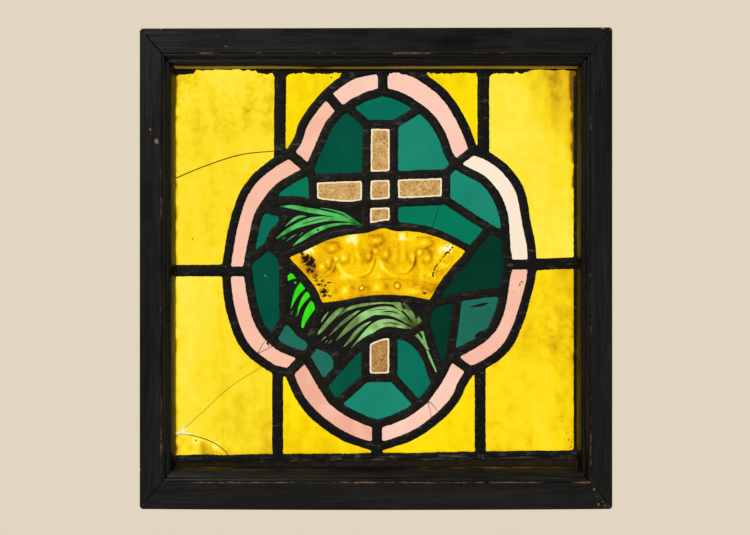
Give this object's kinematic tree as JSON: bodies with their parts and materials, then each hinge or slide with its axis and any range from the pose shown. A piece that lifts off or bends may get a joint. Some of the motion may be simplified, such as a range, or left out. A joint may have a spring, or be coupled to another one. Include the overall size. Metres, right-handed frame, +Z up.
{
  "type": "stained glass window",
  "caption": "Square leaded stained glass window with cross, crown and palm leaves in a lobed band, in a moulded black wooden frame.",
  "frame": {"origin": "middle of the frame's flat underside, half way through its depth", "axes": "+Z up; the moulded front faces -Y; +X to the right seen from the front"},
  "size_m": [0.511, 0.038, 0.522],
  "materials": {
    "frame_wood": "black satin paint, worn at the arrises",
    "bead_wood": "black paint, matt",
    "lead": "aged dark lead, soldered joints",
    "yellow_glass": "transparent yellow cathedral glass, smooth",
    "pink_glass": "transparent pale pink glass, smooth",
    "cream_glass": "transparent cream glass, smooth",
    "green_glass": "transparent deep green glass, smooth",
    "palm_glass": "transparent light green glass painted with black leaf shapes",
    "cross_glass": "tan painted and stippled glass with clear edges",
    "crown_glass": "golden stained and painted glass"
  },
  "bodies": {
    "root": {"bead_bottom": "bead_wood", "bead_left": "bead_wood", "bead_right": "bead_wood", "bead_top": "bead_wood", "bottom_rail": "frame_wood", "cream_right_upper": "cream_glass", "cross_arm_left": "cross_glass", "cross_arm_right": "cross_glass", "cross_centre": "cross_glass", "cross_foot": "cross_glass", "cross_head": "cross_glass", "cross_neck": "cross_glass", "crown": "crown_glass", "green_01": "green_glass", "green_02": "green_glass", "green_03": "green_glass", "green_04": "green_glass", "green_05": "green_glass", "green_06": "green_glass", "green_07": "green_glass", "green_08": "green_glass", "green_09": "green_glass", "green_10": "green_glass", "green_11": "green_glass", "green_12": "green_glass", "green_13": "green_glass", "green_14": "green_glass", "green_15": "green_glass", "green_16": "green_glass", "lead_came_matrix": "lead", "left_stile": "frame_wood", "palm_left": "palm_glass", "palm_lower": "palm_glass", "palm_stem": "palm_glass", "palm_upper": "palm_glass", "pink_bottom_left": "pink_glass", "pink_bottom_right": "pink_glass", "pink_left_lower": "pink_glass", "pink_left_upper": "pink_glass", "pink_right_lower": "pink_glass", "pink_top_left_high": "pink_glass", "pink_top_left_low": "pink_glass", "pink_top_right": "pink_glass", "right_stile": "frame_wood", "top_rail": "frame_wood", "yellow_bottom_left": "yellow_glass", "yellow_bottom_left_inner": "yellow_glass", "yellow_bottom_right": "yellow_glass", "yellow_bottom_right_inner": "yellow_glass", "yellow_top_left": "yellow_glass", "yellow_top_left_inner": "yellow_glass", "yellow_top_right": "yellow_glass", "yellow_top_right_inner": "yellow_glass"}
  },
  "joints": []
}
